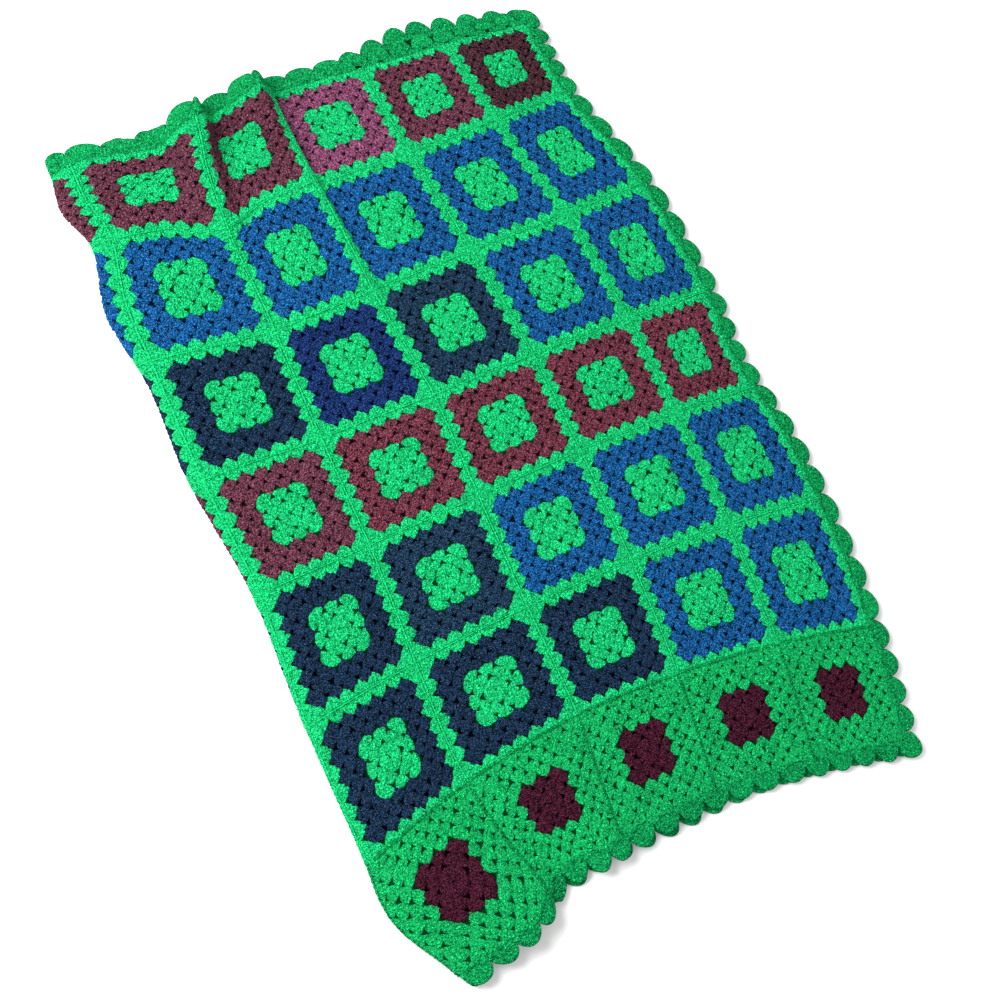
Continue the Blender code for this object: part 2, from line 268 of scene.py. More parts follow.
def on_cloth(across, row, height):
    """World points for arrays of places on the cloth, none of them below the floor."""
    across, row = drifted(np.asarray(across, dtype=float), np.asarray(row, dtype=float))
    column = np.clip((across - FINE_ACROSS[0]) / ACROSS_STEP, 0, len(FINE_ACROSS) - 1.001)
    line = np.clip((row - FINE_ROWS[0]) / ROW_STEP, 0, len(FINE_ROWS) - 1.001)
    left = column.astype(int)
    top = line.astype(int)
    over = (column - left)[..., None]
    down = (line - top)[..., None]
    points = np.zeros(np.shape(across) + (3,))
    facing = np.zeros_like(points)
    for step_down in (0, 1):
        for step_over in (0, 1):
            share = (down if step_down else 1 - down) * (over if step_over else 1 - over)
            points += share * LAID[top + step_down, left + step_over]
            facing += share * OUTWARD[top + step_down, left + step_over]
    facing /= np.linalg.norm(facing, axis=-1, keepdims=True)
    points += facing * np.asarray(height)[..., None]
    points[..., 2] = np.maximum(points[..., 2], FLOOR_CLEAR)
    return points


def patches(name, points, flip=False, **values):
    """One mesh of many like patches, from an array of patches by lines by places.

    values are numbers kept on the points, for the yarn's material: one array for each name.
    """
    count, lines, places = points.shape[:3]
    corner = np.arange(count * lines * places).reshape(count, lines, places)
    ring = (corner[:, :-1, :-1], corner[:, :-1, 1:], corner[:, 1:, 1:], corner[:, 1:, :-1])
    quads = np.stack(ring[::-1] if flip else ring, axis=-1).reshape(-1, 4)
    mesh = bpy.data.meshes.new(name)
    mesh.vertices.add(count * lines * places)
    mesh.vertices.foreach_set("co", points.reshape(-1).astype(np.float32))
    mesh.loops.add(quads.size)
    mesh.loops.foreach_set("vertex_index", quads.reshape(-1).astype(np.int32))
    mesh.polygons.add(len(quads))
    mesh.polygons.foreach_set("loop_start", np.arange(0, quads.size, 4, dtype=np.int32))
    for label, numbers in values.items():
        layer = mesh.attributes.new(label, "FLOAT", "POINT")
        spread = np.broadcast_to(numbers, (count, lines, places))
        layer.data.foreach_set("value", spread.reshape(-1).astype(np.float32))
    mesh.update(calc_edges=True)
    mesh.shade_smooth()
    piece = bpy.data.objects.new(name, mesh)
    bpy.context.scene.collection.objects.link(piece)
    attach(piece, "root")
    return piece


# The granny squares. Each is seven rounds of clusters of three double crochets, worked from a
# ring at the centre. A cluster fans out from the space between two clusters of the round before
# and laps over its edge, which leaves a small hole above the middle of each cluster before it.
MM = 0.001
ROUNDS = 7
# Half width of a square in mm, from its starting ring to the last of its seven rounds.
ROUND_REACH = (5.0, 15.8, 25.0, 34.0, 44.5, 55.0, 65.4, 74.55)
CENTRE_ROUNDS = 3         # the rounds of the centre, before the ring's three and the last one
START_HALF = 9.0          # half width of the first round's feet, which fill the starting ring
CORNER_OUTER = 3.5        # from a side's last cluster to the corner, at its outer edge
CORNER_INNER = 3.0        # and at its foot, which is worked into the corner space
FOOT_LAP = 4.8            # how far a cluster's foot laps over the round before
LAST_LAP = 5.8            # and in the last round
HOLE_TOP = 5.0            # where two feet meet over the cluster before
LAST_HOLE_TOP = 4.0       # and in the last round
FOOT_POINT = 3.2          # how blunt a foot is, with most of its width down at its lowest line
RING_FOOT_POINT = 2.5     # sharper in the first round of the ring, where it crosses the centre
LAST_FOOT_POINT = 2.4     # and in the last round, where it crosses the ring
FILL = 0.985              # how much of its room a cluster takes: neighbours just part
LAST_FILL = 1.06          # or lap over each other in the last round
CROWN = 0.7               # how far a cluster's outer edge bows out in its middle
SHOULDER = 2.8            # and how far it draws back at its two sides
CORNER_SHOULDER = 4.6     # and at a corner, where two clusters leave a notch
CLUSTER_TOP = 3.4         # height of the stitches over the middle of the cloth
GROUND_TOP = 0.9          # where the cloth's dark ground lies, seen in the holes
FOOT_TOP = GROUND_TOP - 0.5   # where a stitch starts from, hidden under the ground
random = np.random.default_rng(11)


def cluster_sites(squares, first_round, last_round):
    """Where each cluster of some rounds of some squares goes: an array with a line for each.

    Its columns are the square's middle across and its row position, the side's direction, then
    the half width of the square at the cluster's foot and at its outer edge, its place along the
    side there, its own half width there, whether its outer edge is a free crown, and whether
    its first and its second flank are at the square's corner.
    """
    sites = []
    for column, row in squares:
        for number in range(first_round, last_round + 1):
            inner = ROUND_REACH[number - 1]
            outer = ROUND_REACH[number]
            half_in = (inner - CORNER_INNER) / (number - 1) if number > 1 else START_HALF
            half_out = (outer - CORNER_OUTER) / number
            for side in range(4):
                for cluster in range(number):
                    along = 2 * cluster - (number - 1)
                    sites.append(((column + 0.5) * SQUARE, row + 0.5, side * math.pi / 2,
                                  inner, outer, along * half_in, along * half_out,
                                  half_in, half_out, float(number < ROUNDS),
                                  float(cluster == 0), float(cluster == number - 1)))
    return np.array(sites)


FAN_PLACES = np.array((-1.0, -0.9, -0.76, -0.58, -0.33, 0.0, 0.33, 0.58, 0.76, 0.9, 1.0))
FAN_LINES = np.array((0.0, 0.08, 0.2, 0.5, 0.8, 0.93, 1.0))
PLAIN_PLACES = np.array((-1.0, -0.5, 0.5, 1.0))
PLAIN_LINES = np.array((0.0, 0.2, 0.85, 1.0))


def crochet(name, sites, places=FAN_PLACES, lines=FAN_LINES, top=CLUSTER_TOP):
    """Clusters on their sites as one piece, each a little different from the next."""
    (middle, row, turn, inner, outer, foot_along, edge_along, half_in, half_out, free,
     first_corner, second_corner) = (sites[:, column, None, None] for column in range(12))
    count = len(sites)
    shift = random.normal(0.0, 0.45, (count, 2, 1, 1))
    lean = random.normal(0.0, 0.06, (count, 1, 1))
    swell = random.normal(1.0, 0.08, (count, 1, 1))
    tint = random.normal(0.0, 1.0, (count, 1, 1))
    across, along = np.meshgrid(places, lines)
    corner = np.where(across < 0.0, first_corner, second_corner)

    # Its outline on the square, in mm: how far out from the middle, and how far along the side.
    point = np.where(free > 0.5, FOOT_POINT, LAST_FOOT_POINT)
    point = np.where(inner == ROUND_REACH[CENTRE_ROUNDS], RING_FOOT_POINT, point)
    gap = np.sin(math.pi / 2 * np.abs(across) ** point) * (1.0 - corner)
    lap = np.where(free > 0.5, FOOT_LAP, LAST_LAP)
    hole = np.where(free > 0.5, HOLE_TOP, LAST_HOLE_TOP)
    bumps = 0.30 * np.cos(3 * math.pi * across)
    from_out = np.maximum(inner - lap + (lap + hole) * gap, 0.6)
    shoulder = SHOULDER + (CORNER_SHOULDER - SHOULDER) * corner
    to_out = outer + free * (CROWN - (CROWN + shoulder) * np.abs(across) ** 2.4 + bumps)
    out = from_out + (to_out - from_out) * along
    share = (out - inner + lap) / (outer - inner + lap)
    line = foot_along + (edge_along - foot_along) * share
    fill = np.where(free > 0.5, FILL, LAST_FILL)
    side = line + across * (half_in + (half_out - half_in) * share) * fill
    side = np.clip(side, -0.8 - out, out + 0.8)
    out, side = out + (side - line) * lean + shift[:, 0], side + shift[:, 1]
    over = out * np.cos(turn) - side * np.sin(turn)
    down = out * np.sin(turn) + side * np.cos(turn)

    # Its relief: three posts, rounded down at the foot, at the crown and at the free flanks.
    posts = 0.68 + 0.32 * np.abs(np.cos(1.5 * math.pi * across))
    end = np.interp(along, (0.0, 0.08, 0.2, 0.5, 0.8, 0.93), (0.05, 0.70, 1.0, 1.0, 0.90, 0.62))
    last = np.where(along > 0.99, np.where(free > 0.5, 0.15, 1.0), 1.0)
    joined = (1.0 - free) * np.clip(along * 2.2 - 0.3, 0.0, 1.0)
    flanks = 1.0 - (0.60 - 0.35 * corner) * (1.0 - joined) * np.abs(across) ** 7
    lift = posts * flanks * end * last
    height = FOOT_TOP + (top - FOOT_TOP) * lift * swell
    points = on_cloth(middle + over * MM, row + down * MM / SQUARE, height * MM)
    return patches(name, points, relief=lift, tint=tint)


# Their yarn is worsted acrylic. It is dyed strong, even colours and is matt. Its loose fuzz is
# drawn
# as fine light and dark flecks: painted highlights where the fuzz catches the light, and painted
# shade in the hollows of its curls and between its loops. The strand is 4 mm thick and its plies
# curl over each other about every 2.4 mm, between loops 2.8 mm apart. The fuzz is 0.03 mm hairs,
# too fine to show, so its painted highlights are drawn as coarse as they need to show, 1.8 mm
# apart.
CURLS_PER_M = 420.0
LOOPS_PER_M = 360.0
FUZZ_ENDS_PER_M = 560.0
CURL_DEPTH = 0.0030


def to_linear(hex_colour):
    """Linear red, green, blue and alpha of an sRGB hex colour."""
    shares = [int(hex_colour[at:at + 2], 16) / 255 for at in (1, 3, 5)]
    return (*[s / 12.92 if s <= 0.04045 else ((s + 0.055) / 1.055) ** 2.4 for s in shares], 1.0)


def add_node(tree, kind, settings, links):
    """A new node with its settings and inputs, and links from other nodes' sockets."""
    node = tree.nodes.new(kind)
    for key, value in settings.items():
        if isinstance(key, str) and hasattr(node, key):
            setattr(node, key, value)
        else:
            node.inputs[key].default_value = value
    for key, socket in links.items():
        tree.links.new(socket, node.inputs[key])
    return node


def worsted_acrylic(name, hex_colour, fuzz_highlight_colour, hollow=0.10):
    """Worsted acrylic yarn in one colour: matt, fuzzy, and with painted shade down between the
    stitches.

    hollow is how much of its colour shows in the painted shade of the hollows of its curls. The
    pieces carry a relief, from 0 down in the ground to 1 on the posts, which sets where the painted
    shade lies, and a tint, a little different for each cluster, which on the joins' highest loops
    is a painted highlight or painted shade.
    """
    material = bpy.data.materials.new(name)
    material.use_nodes = True
    tree = material.node_tree
    surface = tree.nodes["Principled BSDF"]
    colour = to_linear(hex_colour)
    # painted shade: the colour at 8 %, laid on where the relief is low, down between the stitches
    painted_shade = tuple(channel * 0.08 for channel in colour[:3]) + (1.0,)
    place = add_node(tree, "ShaderNodeTexCoord", {}, {}).outputs["Object"]
    relief = add_node(tree, "ShaderNodeAttribute", {"attribute_name": "relief"}, {})
    tint = add_node(tree, "ShaderNodeAttribute", {"attribute_name": "tint"}, {})
    curls = add_node(tree, "ShaderNodeTexNoise", {"Scale": CURLS_PER_M, "Detail": 1.0,
                     "Roughness": 0.6, "Distortion": 1.0}, {"Vector": place})
    loops = add_node(tree, "ShaderNodeTexVoronoi", {"Scale": LOOPS_PER_M}, {"Vector": place})
    ends = add_node(tree, "ShaderNodeTexNoise", {"Scale": FUZZ_ENDS_PER_M, "Detail": 0.0},
                    {"Vector": place})
    rise = add_node(tree, "ShaderNodeMapRange", {"From Min": 0.05, "From Max": 0.65},
                    {"Value": relief.outputs["Fac"]})
    body = add_node(tree, "ShaderNodeMix", {"data_type": "RGBA", 6: painted_shade, 7: colour},
                    {0: rise.outputs["Result"]})
    # painted shade in the hollows of the curls and the creases between the loops, lighter on their
    # crowns; the same pattern also drives the bump
    spread = add_node(tree, "ShaderNodeMapRange", {"From Min": 0.37, "From Max": 0.63,
                      "To Min": hollow, "To Max": 2.70 - hollow}, {"Value": curls.outputs["Fac"]})
    crease_shade = add_node(tree, "ShaderNodeMapRange", {"From Min": 0.20, "From Max": 0.62,
                       "To Min": 1.50, "To Max": 0.45}, {"Value": loops.outputs["Distance"]})
    knobbly = add_node(tree, "ShaderNodeMath", {"operation": "MULTIPLY"},
                       {0: spread.outputs["Result"], 1: crease_shade.outputs["Result"]})
    shade = add_node(tree, "ShaderNodeMath", {"operation": "MULTIPLY_ADD", 1: 0.06},
                     {0: tint.outputs["Fac"], 2: knobbly.outputs["Value"]})
    mottled = add_node(tree, "ShaderNodeVectorMath", {"operation": "SCALE"},
                       {0: body.outputs[2], "Scale": shade.outputs["Value"]})
    # painted highlight: light flecks where the fuzz's ends catch the light
    painted_highlight = add_node(tree, "ShaderNodeMapRange", {"From Min": 0.56, "From Max": 0.65,
                     "To Min": 0.0, "To Max": 0.55}, {"Value": ends.outputs["Fac"]})
    highlighted = add_node(tree, "ShaderNodeMix", {"data_type": "RGBA", 7: to_linear(fuzz_highlight_colour)},
                       {0: painted_highlight.outputs["Result"], 6: mottled.outputs["Vector"]})
    bump = add_node(tree, "ShaderNodeBump", {"Strength": 1.0, "Distance": CURL_DEPTH},
                    {"Height": knobbly.outputs["Value"]})
    tree.links.new(highlighted.outputs[2], surface.inputs["Base Color"])
    tree.links.new(bump.outputs["Normal"], surface.inputs["Normal"])
    surface.inputs["Roughness"].default_value = 0.9
    surface.inputs["Specular IOR Level"].default_value = 0.03
    surface.inputs["Sheen Weight"].default_value = 0.03
    surface.inputs["Sheen Tint"].default_value = to_linear(fuzz_highlight_colour)
    surface.inputs["Sheen Roughness"].default_value = 0.5
    return material


RING_YARNS = {
    # yarn of the fourth to sixth rounds of each square, by row, from the fold to the open edge
    0: ("maroon", "maroon", "plum", "maroon", "wine"),
    1: ("blue", "blue", "blue", "blue", "blue"),
    2: ("navy", "royal", "midnight", "blue", "blue"),
    3: ("maroon", "rosewood", "rosewood", "rosewood", "rosewood"),
    4: ("navy", "midnight", "blue", "blue", "blue"),
    5: ("navy", "navy", "navy", "blue", "blue"),
}
YARN_COLOURS = {
    # yarn: its colour, the painted highlight of its fuzz where it catches the light, and for the
    # greens, which are brighter in their hollows than the dark yarns, how much of the colour shows
    # there in the painted shade. The third green, for the border, is the green with painted shade,
    # as the border falls away from the light; the second is the green a little darker, for the end
    # row.
    "green": ("#17dc7c", "#3ef8aa", 0.45),
    "end green": ("#14c468", "#34e48c", 0.50),
    "shaded green": ("#11b05e", "#28d080", 0.35),
    "maroon": ("#6f394b", "#af7084"),
    "plum": ("#914d71", "#d786b2"),
    "wine": ("#55313a", "#79535f"),
    "rosewood": ("#773747", "#b46d7f"),
    "blue": ("#135da2", "#479de1"),
    "navy": ("#17304d", "#486686"),
    "royal": ("#18336f", "#4366a5"),
    "midnight": ("#1c3a55", "#4d6d8b"),
    "dark maroon": ("#4b192d", "#733d52"),
}
yarns = {name: worsted_acrylic(f"worsted acrylic, {name}", *colours)
         for name, colours in YARN_COLOURS.items()}


def dressed(piece, yarn):
    """Give a piece its yarn."""
    piece.data.materials.append(yarns[yarn])
    return piece


TURNS_UNDER = -0.085      # across: behind this the cloth turns under and only plain stitches go
top_squares = [(column, row) for row in range(ROWS) for column in range(-1, HALF_COLUMNS)]
ring_yarns = ("maroon", "plum", "wine", "rosewood", "blue", "navy", "royal", "midnight")
crochet_pieces = []


def work_rounds(name, squares, first, last, yarn):
    """Some rounds of some upper squares: fine stitches where they show, plain under the fold."""
    sites = cluster_sites(squares, first, last)
    over = sites[:, 0] + ((sites[:, 3] + sites[:, 4]) / 2 * np.cos(sites[:, 2])
                          - sites[:, 5] * np.sin(sites[:, 2])) * MM
    shown = over > TURNS_UNDER
    crochet_pieces.append(dressed(crochet(name, sites[shown]), yarn))
    if not shown.all():
        plain = crochet(f"{name}_at_the_fold", sites[~shown], PLAIN_PLACES, PLAIN_LINES)
        crochet_pieces.append(dressed(plain, yarn))


for yarn in ring_yarns:
    work_rounds(f"{yarn}_rounds", [(column, row) for column, row in top_squares
                if row < 6 and RING_YARNS[row][max(column, 0)] == yarn], 4, 6, yarn)
upper_rows = [square for square in top_squares if square[1] < 6]
end_row = [square for square in top_squares if square[1] == 6]
work_rounds("green_centres", upper_rows, 1, 3, "green")
work_rounds("green_last_rounds", upper_rows, 7, 7, "green")
work_rounds("end_row_green_rounds", end_row, 4, 7, "end green")
work_rounds("end_row_centres", end_row, 1, 3, "dark maroon")


# The under layer's squares face the floor. They are the same squares, in plainer stitches.
under_squares = [(column, row) for row in range(ROWS) for column in range(-HALF_COLUMNS, -1)]
UNDER_TOP = 2.3           # their height in mm, less than above, as the cloth's weight is on them


def work_under(name, squares, first, last, yarn):
    """Some rounds of some squares of the under layer."""
    piece = crochet(name, cluster_sites(squares, first, last), PLAIN_PLACES, PLAIN_LINES, UNDER_TOP)
    crochet_pieces.append(dressed(piece, yarn))


for yarn in ring_yarns:
    work_under(f"under_{yarn}_rounds", [(column, row) for column, row in under_squares
               if row < 6 and RING_YARNS[row][-1 - column] == yarn], 4, 6, yarn)
under_rows = [square for square in under_squares if square[1] < 6]
under_end_row = [square for square in under_squares if square[1] == 6]
work_under("under_green_centres", under_rows, 1, 3, "green")
work_under("under_green_last_rounds", under_rows, 7, 7, "green")
work_under("under_end_row_green_rounds", under_end_row, 4, 7, "end green")
work_under("under_end_row_centres", under_end_row, 1, 3, "dark maroon")


# The joins. The squares are sewn edge to edge through the back loops, so the front loops of both
# edges stand up as a double ridge along each joint: full between columns, thinner between rows.
RIDGE_PLACES = np.array((-4.2, -3.4, -2.6, -1.9, -1.2, -0.7, 0.0, 0.7, 1.2, 1.9, 2.6, 3.4, 4.2))
RIDGE_HALF_RISE = (0.0, 0.80, 0.85, 0.30, 0.50, 0.95)
RIDGE_RISE = np.array(RIDGE_HALF_RISE + (1.0,) + RIDGE_HALF_RISE[::-1])
STITCH = 5.0              # mm from one sewn loop to the next
LOOP_LEAN = 0.8           # how far along, in radians, one edge's loops are ahead of the other's
RIDGE_STEP = 2.5          # mm between the ridge's lines of points
RIDGE_FOOT = GROUND_TOP - 0.4


def ridge(name, joints, length, along_rows, narrow, rise, yarn="green", glint=6.0):
    """Sewn joins as one piece: joints gives where each one is and where it starts to run.

    narrow and rise are a ridge's width and height, against RIDGE_PLACES and in mm. glint is the
    tint of its highest loops, which stand up into the light, or lie in shade if it is negative.
    """
    run = np.arange(0.0, length + RIDGE_STEP / 2, RIDGE_STEP)
    run_grid, place_grid = np.meshgrid(run, RIDGE_PLACES, indexing="ij")
    phase = 2 * math.pi * run_grid / STITCH + np.sign(place_grid) * LOOP_LEAN
    sway = 0.22 * np.sin(phase)
    lift = RIDGE_RISE[None, :] * (1.0 + 0.16 * np.cos(phase))
    grids = []
    for joint, start in joints:
        aside = joint + (place_grid * narrow + sway) * MM
        ahead = start + run_grid * MM
        across, row = (ahead, aside / SQUARE) if along_rows else (aside, ahead / SQUARE)
        grids.append(on_cloth(across, row, (RIDGE_FOOT + rise * lift) * MM))
    points = np.array(grids)
    piece = patches(name, points, flip=along_rows, relief=lift ** 1.5,
                    tint=np.where(lift > 0.8, glint, 0.0))
    return dressed(piece, yarn)


LAST_JOINT = (ROWS - 1) * SQUARE          # the end row's squares, all green outside, start here
column_run = LAST_JOINT / MM
row_run = (HALF_WIDTH - TURNS_UNDER) / MM
column_joints = [(joint * SQUARE, 0.0) for joint in range(HALF_COLUMNS)]
end_joints = [(joint * SQUARE, LAST_JOINT) for joint in range(HALF_COLUMNS)]
row_joints = [(row * SQUARE, TURNS_UNDER) for row in range(1, ROWS - 1)]
crochet_pieces += [
    ridge("column_joins", column_joints, column_run, False, 1.0, 3.7),
    ridge("row_joins", row_joints, row_run, True, 0.8, 3.3),
    ridge("end_row_joins", end_joints, SQUARE / MM, False, 0.6, 3.2, "end green", -7.0),
    ridge("last_row_join", [(LAST_JOINT, TURNS_UNDER)], row_run, True, 0.7, 3.3, "end green", -2.0),
]

# Where four squares meet, their corner stitches are drawn together into one solid patch, a
# rounded star of the same yarn with its arms along the joins.
PATCH_REACH = 15.0
PATCH_TOP = 1.8           # mm over the dark ground
PATCH_RINGS = np.array((0.0, 0.35, 0.65, 0.88, 1.0))
turn, ring = np.meshgrid(np.linspace(0.0, 2 * math.pi, 33), PATCH_RINGS)
patch_out = PATCH_REACH * ring * (1.0 + 0.10 * np.cos(4 * turn) - 0.05 * np.cos(8 * turn))
patch_lift = np.interp(ring, (0.0, 0.65, 0.88, 1.0), (1.0, 0.95, 0.70, 0.25))
meetings = np.array([(column * SQUARE, row)
                     for row in range(1, ROWS) for column in range(HALF_COLUMNS)])
patch_across = meetings[:, 0, None, None] + patch_out * np.cos(turn) * MM
patch_row = meetings[:, 1, None, None] + patch_out * np.sin(turn) * MM / SQUARE
patch_height = np.broadcast_to((GROUND_TOP + PATCH_TOP * patch_lift) * MM, patch_row.shape)
patch_points = on_cloth(patch_across, patch_row, patch_height)
corner_patches = patches("corner_patches", patch_points, flip=True, tint=0.0,
                         relief=0.62 + 0.20 * np.cos(12 * turn) * np.sin(3 * math.pi * ring))
crochet_pieces.append(dressed(corner_patches, "green"))


# The cloth itself under the stitches: one folded sheet, painted in a near black shade of the yarns
# over it, for the shade down in the holes. It is the sheet that all the stitches and the border go
# with.
GROUND_THICKNESS = 0.0018
GROUND_SHADE = 0.04       # light that reaches the bottom of a hole, so the ground is near black
ground_across = np.concatenate((np.arange(-0.750, -0.066, 0.012), np.arange(-0.066, 0.354, 0.006),
                                np.arange(0.354, 0.7505, 0.012)))
ground_rows = np.concatenate((np.arange(0.0, 2.0, 0.05), np.arange(2.0, 6.0, 0.1),
                              np.arange(6.0, 7.01, 0.05)))


def ground_colour(across, row):
    """Painted shade of the yarn worked over each place of the cloth: its colour darkened to near
    black.
    """
    column = np.floor(np.clip(across / SQUARE, -HALF_COLUMNS, HALF_COLUMNS - 0.001))
    line = np.floor(np.clip(row, 0, ROWS - 0.001))
    reach = np.maximum(np.abs(across / SQUARE - column - 0.5), np.abs(row - line - 0.5)) * SQUARE
    centre = reach < ROUND_REACH[CENTRE_ROUNDS] * MM
    edge = reach > ROUND_REACH[ROUNDS - 1] * MM
    colours = np.zeros(across.shape + (4,))
    for place in np.ndindex(across.shape):
        square_row = int(line[place])
        square_column = int(column[place])
        if square_row == ROWS - 1:
            yarn = "dark maroon" if centre[place] else "green"
        elif centre[place] or edge[place]:
            yarn = "green"
        else:
            from_fold = max(square_column, 0) if square_column >= -1 else -1 - square_column
            yarn = RING_YARNS[square_row][from_fold]
        colours[place] = to_linear(YARN_COLOURS[yarn][0])
    colours[..., :3] *= GROUND_SHADE
    return colours


across_grid, row_grid = np.meshgrid(ground_across, ground_rows)
ground_points = on_cloth(across_grid, row_grid, np.zeros_like(across_grid))
ground = patches("ground_cloth", ground_points[None], relief=1.0, tint=0.0)
shades = ground.data.color_attributes.new("yarn", "FLOAT_COLOR", "POINT")
shades.data.foreach_set("color", ground_colour(across_grid, row_grid).reshape(-1))
solid = ground.modifiers.new("yarn thickness", "SOLIDIFY")
solid.thickness = GROUND_THICKNESS
solid.offset = 0.0

# The same yarn in the shade of the stitches: no gloss and no fuzz show down there.
painted_shade_yarn = bpy.data.materials.new("worsted acrylic in the shade of the stitches")
painted_shade_yarn.use_nodes = True
shade_tree = painted_shade_yarn.node_tree
dark_surface = shade_tree.nodes["Principled BSDF"]
yarn_shade = add_node(shade_tree, "ShaderNodeAttribute", {"attribute_name": "yarn"}, {})
shade_tree.links.new(yarn_shade.outputs["Color"], dark_surface.inputs["Base Color"])
dark_surface.inputs["Roughness"].default_value = 0.95
dark_surface.inputs["Specular IOR Level"].default_value = 0.0
ground.data.materials.append(painted_shade_yarn)
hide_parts("patchwork_panel")


# The border: a round of shells in the same green, painted a shade darker, each a fan of double
# crochets worked into one stitch of the squares' last round. It is as thick as the cloth and looks
# alike from both sides.
PIECE_GAP = 0.8           # mm between the squares' edge and the border, as in the solids
SHELLS_ACROSS = 38
SHELLS_ALONG = 28
BAND_DEPTH = 12.0         # mm to the band's edge, where the solids have their notches
SHELL_DEPTH = 26.0        # to the tip of a shell
SHELL_POSTS = 8           # double crochets in a shell
SLIT_HALF = 4.4           # half the length of the slit at a shell's foot
SLIT_DEPTH = 4.5
EDGE_TOP = 2.5            # half the border's thickness at its posts
EDGE_DROOP = 4.0          # how far the upper layer's shells hang down at their tips
FOLDS_DROOP = 11.0        # and at the far end over the raised folds, where they have room
DROOP_LEVEL = 8.0         # a droop stops this high over the floor, clear of the under layer
DROOP_EASE = 60.0         # mm across over which the droop comes in, and the folds' goes out
DROOP_FROM = -20.0        # where it starts to come in, in mm across from the fold's column joint
FOLDS_DROOP_TO = 360.0    # and where the folds' has gone out
FOLDS_FROM = -40.0        # shells that start between these, in mm across, lie over the folds
FOLDS_TO = 420.0
half_wide = HALF_WIDTH / MM + PIECE_GAP
half_long = ROWS * SQUARE / 2 / MM + PIECE_GAP
CORNER_RUN = SHELL_DEPTH / 2
EDGES = (
    # start, direction along, direction out, length, shells; the corners have one shell each
    ((-half_wide, half_long), (1, 0), (0, 1), 2 * half_wide, SHELLS_ACROSS),
    ((half_wide, half_long), (0, -1), (1, 0), 2 * half_long, SHELLS_ALONG),
    ((half_wide, -half_long), (-1, 0), (0, -1), 2 * half_wide, SHELLS_ACROSS),
    ((-half_wide, -half_long), (0, 1), (-1, 0), 2 * half_long, SHELLS_ALONG),
)


def edge_stretches(first, offset):
    """Frames of like stretches along the edges: start, along, out and width of each, in mm."""
    frames = []
    for (x, y), (along_x, along_y), (out_x, out_y), length, count in EDGES:
        pitch = (length - 2 * CORNER_RUN) / count
        for shell in range(first, count):
            run = CORNER_RUN + pitch * (shell + offset)
            frames.append((x + along_x * run, y + along_y * run, along_x, along_y,
                           out_x, out_y, pitch))
    return np.array(frames)


def over_folds(frames, margin):
    """Which stretches are at the far end over the raised folds, or within a margin of them."""
    x = frames[:, 0, None, None]
    at_far_end = frames[:, 5, None, None] > 0.5
    return at_far_end & (x > FOLDS_FROM - margin) & (x < FOLDS_TO + margin)


def on_edge(frames, along, depth):
    """Places on the flat cloth from places along each stretch and out from the squares."""
    start_x, start_y, along_x, along_y, out_x, out_y, _ = (
        frames[:, column, None, None] for column in range(7))
    return (start_x + along_x * along + out_x * depth, start_y + along_y * along + out_y * depth)


def both_sides(name, flat, lift, tint=0.0):
    """A stretch of border as one piece with two faces that meet at its rim."""
    across, up = flat
    lift = np.broadcast_to(lift, across.shape)
    past = np.hypot(np.clip(np.abs(across) - half_wide, 0.0, None),
                    np.clip(np.abs(up) - half_long, 0.0, None)) / SHELL_DEPTH
    row = ROWS / 2 - up * MM / SQUARE
    level = on_cloth(across * MM, row, np.zeros_like(across))[..., 2] / MM
    folds = (up > half_long) * np.clip((FOLDS_DROOP_TO - across) / DROOP_EASE, 0.0, 1.0)
    droop = EDGE_DROOP + (FOLDS_DROOP - EDGE_DROOP) * folds
    droop = np.minimum(droop, np.maximum(level - DROOP_LEVEL, 0.0)) * past ** 1.5
    droop *= np.clip((across - DROOP_FROM) / DROOP_EASE, 0.0, 1.0)
    pieces = []
    for face, label in ((1.0, "right"), (-1.0, "wrong")):
        points = on_cloth(across * MM, row, face * EDGE_TOP * lift * MM)
        points[..., 2] -= droop * MM
        piece = patches(f"{name}_{label}_side", points, flip=face > 0, relief=lift, tint=tint)
        # the border's shells take the darker copy of the green: painted shade, as the border falls
        # away from the light
        pieces.append(dressed(piece, "shaded green"))
    return pieces


# Each shell is a fan of posts from its foot, over the slit, to its round tip. Its weight draws
# the slit shut by a different amount at each one: nearly at the open edge and the near end, and
# fully over the raised folds, where the shells are also crowded and the notches shallow.
FAN_REACH = np.array((0.0, 0.08, 0.3, 0.6, 0.86, 0.95, 1.0))
FOLDS_NOTCH = 5.0         # mm outside the band's edge where the notches over the folds end
NOTCH_CUT = 4.0           # and mm inside it where all the others do
shells = edge_stretches(0, 0.0)
swing, reach = np.meshgrid(np.linspace(-1.0, 1.0, 4 * SHELL_POSTS + 1), FAN_REACH)
swung = np.sin(swing * math.pi / 2)
bow = np.cos(swing * math.pi / 2)
pitch = shells[:, 6, None, None]
at_open_edge = shells[:, 4, None, None] > 0.5
at_near_end = shells[:, 5, None, None] < -0.5
lifted = over_folds(shells, 0.0)
slit_shut = random.uniform(0.0, 1.0, (len(shells), 1, 1))
slit_shut = np.where(at_open_edge, 0.75 + 0.25 * slit_shut, slit_shut ** 1.5)
slit_shut = np.where(at_near_end, 0.8 + 0.2 * slit_shut, slit_shut)
slit_shut = np.where(lifted, 1.0, slit_shut)
foot_depth = SLIT_DEPTH - 0.6 - 3.4 * slit_shut + 1.6 * bow * (1.0 - slit_shut)
notch_depth = BAND_DEPTH + np.where(lifted, FOLDS_NOTCH, -NOTCH_CUT)
tip_depth = notch_depth + (SHELL_DEPTH - notch_depth) * bow ** 1.3
shell_along = pitch / 2 + (SLIT_HALF * 0.9 * (1 - reach) + pitch / 2 * reach) * swung
shell_depth = foot_depth + (tip_depth - foot_depth) * reach
